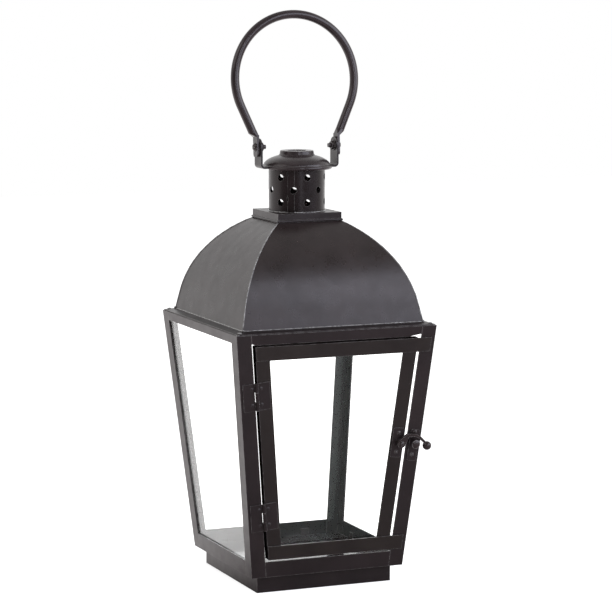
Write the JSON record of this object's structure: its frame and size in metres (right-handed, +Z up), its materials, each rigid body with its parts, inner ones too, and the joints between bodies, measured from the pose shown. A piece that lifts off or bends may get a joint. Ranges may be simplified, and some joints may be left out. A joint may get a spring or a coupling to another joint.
{
  "type": "candle lantern",
  "caption": "Tapered square glass candle lantern with a hinged glazed door and latch, domed roof, vented chimney with cap, and a folding bail handle.",
  "frame": {"origin": "middle of the underside of the plinth, on the ground", "axes": "+Z up, -Y towards the door side, +X to the right seen from the door side"},
  "size_m": [0.196, 0.1964, 0.5276],
  "materials": {
    "dark_painted_steel": "satin dark bronze paint",
    "fasteners": "satin dark bronze paint, worn",
    "glass": "clear with a slight green tint"
  },
  "bodies": {
    "lantern": {"plinth": "dark_painted_steel", "floor_plate": "dark_painted_steel", "post_front_left": "dark_painted_steel", "post_front_right": "dark_painted_steel", "post_back_left": "dark_painted_steel", "post_back_right": "dark_painted_steel", "bottom_rail_front": "dark_painted_steel", "bottom_rail_right": "dark_painted_steel", "bottom_rail_back": "dark_painted_steel", "bottom_rail_left": "dark_painted_steel", "top_rail_front": "dark_painted_steel", "top_rail_right": "dark_painted_steel", "top_rail_back": "dark_painted_steel", "top_rail_left": "dark_painted_steel", "glass_right": "glass", "glass_back": "glass", "glass_left": "glass", "glass_lugs_right": "dark_painted_steel", "glass_lugs_back": "dark_painted_steel", "glass_lugs_left": "dark_painted_steel", "hinge_upper_post_leaf": "dark_painted_steel", "hinge_lower_post_leaf": "dark_painted_steel", "hinge_pins": "fasteners", "hinge_post_rivets": "fasteners", "keeper_plate": "dark_painted_steel", "keeper_screws": "fasteners", "keeper_stud": "fasteners", "roof_base_ring": "dark_painted_steel", "roof_front": "dark_painted_steel", "roof_right": "dark_painted_steel", "roof_back": "dark_painted_steel", "roof_left": "dark_painted_steel", "roof_collar": "dark_painted_steel", "chimney": "dark_painted_steel", "chimney_cap": "dark_painted_steel", "bail_bracket": "dark_painted_steel", "bail_bolts": "fasteners", "bail_washers": "fasteners", "bail_nuts": "fasteners"},
    "door": {"door_stile_left": "dark_painted_steel", "door_stile_right": "dark_painted_steel", "door_rail_top": "dark_painted_steel", "door_rail_bottom": "dark_painted_steel", "door_glass": "glass", "door_glass_clips": "dark_painted_steel", "hinge_upper_door_leaf": "dark_painted_steel", "hinge_lower_door_leaf": "dark_painted_steel", "hinge_door_rivets": "fasteners", "latch_plate": "dark_painted_steel", "latch_plate_screws": "fasteners", "latch_pivot": "fasteners"},
    "latch_lever": {"latch_lever": "dark_painted_steel"},
    "bail": {"bail": "dark_painted_steel"}
  },
  "joints": [
    {"name": "door_hinge", "type": "hinge", "parent": "lantern", "child": "door", "pos_m": [-0.0711, -0.08809, 0.12954], "axis": [0.1005, 0.1005, -0.9898], "range_deg": [0, 160]},
    {"name": "latch_pivot", "type": "hinge", "parent": "door", "child": "latch_lever", "pos_m": [0.06558, -0.08999, 0.13394], "axis": [0, -0.9949, -0.101], "range_deg": [-19, 95]},
    {"name": "bail_pivot", "type": "hinge", "parent": "lantern", "child": "bail", "pos_m": [0, 0, 0.4025], "axis": [1, 0, 0], "range_deg": [-136, 144]}
  ]
}
